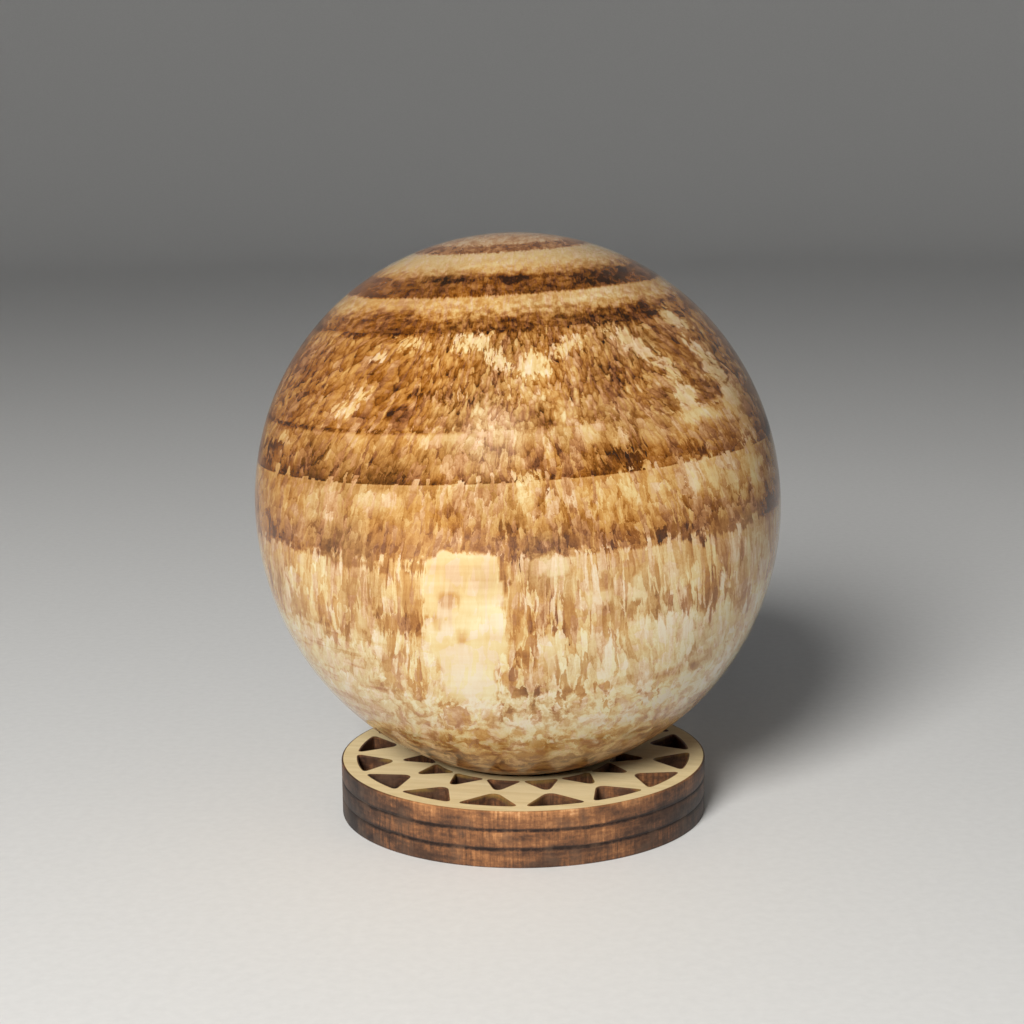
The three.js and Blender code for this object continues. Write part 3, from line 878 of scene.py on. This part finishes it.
def insideLoop(points, loop):
    # Even-odd rule: how many edges a ray towards +X crosses.
    a, b = loop, np.roll(loop, -1, 0)
    px, py = points[:, 0][:, None], points[:, 1][:, None]
    spans = (a[:, 1] > py) != (b[:, 1] > py)
    reach = (b[:, 0] - a[:, 0]) * (py - a[:, 1]) / (b[:, 1] - a[:, 1] + 1e-12) + a[:, 0]
    return (spans & (px < reach)).sum(1) % 2 == 1


def standOutlines():
    # Each outline with the side its material lies on: -1 inside it (the rim), 1 outside it
    # (the hole and the openings).
    outlines = [(circleOutline(stand["rimRadius"], stand["rimPoints"]), -1.0),
                (circleOutline(stand["holeRadius"], stand["holePoints"]), 1.0)]
    outerTip, innerTip = stand["waist"] + stand["waistGap"] / 2, stand["waist"] - stand["waistGap"] / 2
    for i in range(stand["diamonds"]):
        middle = (i + 0.5) / stand["diamonds"] * 2 * math.pi
        outlines.append((openingOutline(stand["outerBase"], outerTip, stand["outerBridge"], middle), 1.0))
        outlines.append((openingOutline(stand["innerBase"], innerTip, stand["innerBridge"], middle), 1.0))
    return outlines


def flatTriangles(loops):
    # The flats: Delaunay triangles between the loops of their margins, first the rim's, as
    # numbers of the loops' points. Those outside the rim or in an opening are left out.
    flatPoints = np.vstack(loops)
    edges, offset = [], 0
    for loop in loops:
        own = np.arange(len(loop))
        edges.append(np.stack([own, (own + 1) % len(loop)], -1) + offset)
        offset += len(loop)
    corners = [Vector(point) for point in flatPoints]
    made = geometry.delaunay_2d_cdt(corners, np.vstack(edges).tolist(), [], 0, 1e-6, True)
    origin = np.array([item[0] for item in made[3]])
    triangles = origin[np.array(made[2])]
    centre = flatPoints[triangles].mean(1)
    keep = insideLoop(centre, loops[0])
    for loop in loops[1:]:
        keep &= ~insideLoop(centre, loop)
    triangles = triangles[keep]
    a, b, c = (flatPoints[triangles[:, k]] for k in range(3))
    turn = (b[:, 0] - a[:, 0]) * (c[:, 1] - a[:, 1]) - (b[:, 1] - a[:, 1]) * (c[:, 0] - a[:, 0])
    triangles[turn < 0] = triangles[turn < 0][:, ::-1]
    return triangles


def makeStand(material):
    # The wall profile is carried along every outline, and the flats close it at the bottom
    # and at the top. The mark named soot is 1 on all the walls but the rim's.
    points, scorch, soot, quads, loops, bottomIndex, topIndex = [], [], [], [], [], [], []
    total = 0
    for number, (loop, side) in enumerate(standOutlines()):
        profile = wallProfile(stand["gluePinch"] if number == 0 else 0.0)
        ring = loop[None] + side * profile[:, 0][:, None, None] * outwardNormals(loop)[None]
        height = np.broadcast_to(profile[:, 1][:, None, None], (*ring.shape[:2], 1))
        points.append(np.concatenate([ring, height], -1).reshape(-1, 3))
        scorch.append(np.repeat(profile[:, 2], len(loop)))
        soot.append(np.full(len(profile) * len(loop), 0.0 if number == 0 else 1.0))
        cells = gridFaces(len(profile), len(loop)) + total
        quads.append(cells if turnsLeft(loop) == (side < 0) else cells[:, ::-1])
        loops.append(ring[0])
        own = np.arange(len(loop))
        bottomIndex.append(total + own)
        topIndex.append(total + len(loop) * (len(profile) - 1) + own)
        total += len(loop) * len(profile)

    triangles = flatTriangles(loops)
    faces = [*quads, np.concatenate(topIndex)[triangles], np.concatenate(bottomIndex)[triangles][:, ::-1]]
    marks = {"scorch": np.concatenate(scorch), "soot": np.concatenate(soot)}
    disc = makePiece("stand", np.vstack(points) * mm, faces, material, marks=marks)
    disc.data.set_sharp_from_angle(angle=math.radians(stand["sharpFrom"]))
    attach(disc, "root")
    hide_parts("plywood_stand")


def makePlywoodMaterial():
    # A pale face with fine grain and laser-burnt walls, blended by the scorch mark.
    material, add = newMaterial("laser_cut_plywood")
    place = add("ShaderNodeTexCoord").outputs["Object"]
    scorch, innerWall = pointMark(add, "scorch"), pointMark(add, "soot")
    where = splitVector(add, place)
    x, y, z = (calc(add, "DIVIDE", where[axis], mm) for axis in ("X", "Y", "Z"))

    # Pale face: long fine grain across the disc.
    turn = (0, 0, math.radians(stand["grainAngle"]))
    turned = add("ShaderNodeMapping", {"Vector": place, "Rotation": turn}).outputs[0]
    grain = noise(add, turned, 1.0, 4.0, 0.6, size=(60, 900, 200))
    pores = noise(add, turned, 1.0, 2.0, 0.5, size=(400, 3500, 500), shift=(3, 1, 0))
    faceTone = scaled(add, grain, 0.75, times(add, pores, 0.3))
    face = ramp(add, faceTone, [(at, toLinear(colour)) for at, colour in stand["faceColours"]])

    # Burnt wall: upright striations, soot clouds, crumbs and level bands.
    stripe = noise(add, place, 1.0, 4.0, 0.7, size=(2600, 2600, 200))
    soot = noise(add, place, 1.0, 4.0, 0.65, size=(170, 170, 420), shift=(1, 2, 3))
    crumbs = noise(add, place, 2600.0, 3.0, 0.7)
    level = noise(add, place, 1.0, 3.0, 0.6, size=(130, 130, 1900), shift=(6, 1, 9))
    striped = times(add, centred(add, stripe), ease(add, soot, 0.40, 0.60, 0.25, 1.0))
    wallTone = plus(add, striped, scaled(add, soot, 1.35, -0.22))
    wallTone = scaled(add, crumbs, 0.5, minus(add, wallTone, 0.25))
    wallTone = scaled(add, centred(add, level), 0.45, wallTone)

    # Dark, uneven glue lines: the height, roughened, counted in plies. They are strongest at
    # mid height.
    slow = noise(add, place, 1.0, 2.0, 0.5, size=(190, 190, 60), shift=(5, 8, 2))
    rough = scaled(add, centred(add, crumbs), 0.3, z)
    rough = scaled(add, centred(add, slow), 0.6, rough)
    inPly = calc(add, "FRACT", calc(add, "DIVIDE", rough, standHeight / stand["plies"]))
    line = ease(add, calc(add, "ABSOLUTE", centred(add, inPly)), 0.35, 0.48)
    line = times(add, line, ease(add, crumbs, 0.38, 0.62, 0.55, 1.25))
    fromMiddle = calc(add, "ABSOLUTE", minus(add, z, standHeight / 2))
    line = times(add, line, ease(add, fromMiddle, 2.2, 2.8, 0.48, 0.10))
    wallTone = minus(add, wallTone, line)

    # Painted shade darkens the rim towards its sides, where the light falls at a slant, and eases
    # off again behind; the rim is also paler towards its top and towards +X. The walls of the
    # hole and the openings are darker.
    nearY, farY, darker = stand["sideShadeFront"]
    backNearY, backFarY, shadeEased = stand["sideShadeBack"]
    paintedSideShade = ease(add, y, nearY, farY, 0.0, darker)
    paintedSideShade = minus(add, paintedSideShade, ease(add, y, backNearY, backFarY, 0.0, shadeEased))
    paintedSideShade = times(add, paintedSideShade, minus(add, 1.0, innerWall))
    topEdge = ease(add, z, 5.70, 5.95, 0.0, 0.18)
    wallTone = minus(add, plus(add, wallTone, topEdge), paintedSideShade)
    wallTone = plus(add, wallTone, ease(add, z, 0.5, 5.5, *stand["rimLift"]))
    wallTone = scaled(add, x, stand["towardsRight"], wallTone)
    wallTone = scaled(add, innerWall, -stand["insideDark"], wallTone, clamp=True)
    burnt = ramp(add, wallTone, [(at, toLinear(colour)) for at, colour in stand["burntColours"]])

    # Clouds of ash, and olive patches at the top of the openings' walls, a painted reflection.
    ashy = ease(add, noise(add, place, 420.0, 3.0, 0.6, shift=(4, 4, 1)), 0.48, 0.66, 0.0, 0.35)
    burnt = blendColour(add, ashy, burnt, toLinear(stand["ashColour"]))
    olive = toLinear(stand["oliveColour"])
    lipReflection = times(add, ease(add, rough, 5.5, 5.9), innerWall)
    patches = ease(add, noise(add, place, 300.0, 2.0, 0.5, shift=(7, 2, 5)), 0.48, 0.60, 0.0, 0.5)
    burnt = blendColour(add, times(add, lipReflection, patches), burnt, olive)

    # A breath of olive scorch on the face beside the cuts.
    burn = ease(add, scaled(add, soot, 0.5, minus(add, scorch, 0.25)), 0.35, 0.75)
    breath = times(add, burn, minus(add, 1.0, burn))
    breath = calc(add, "MULTIPLY", breath, 2.4, clamp=True)
    colour = blendColour(add, breath, blendColour(add, burn, face, burnt), olive)
    relief = add("ShaderNodeBump", {
        "Height": plus(add, grain, stripe), "Strength": 0.25, "Distance": 0.1 * mm})
    shader = add("ShaderNodeBsdfPrincipled", {
        "Base Color": colour,
        "Roughness": ease(add, burn, 0, 1, 0.72, 0.5),
        "Specular IOR Level": 0.35,
        "Normal": relief.outputs[0],
    })
    add("ShaderNodeOutputMaterial", {"Surface": shader.outputs[0]})
    return material


makeStand(makePlywoodMaterial())
print("stand ready")
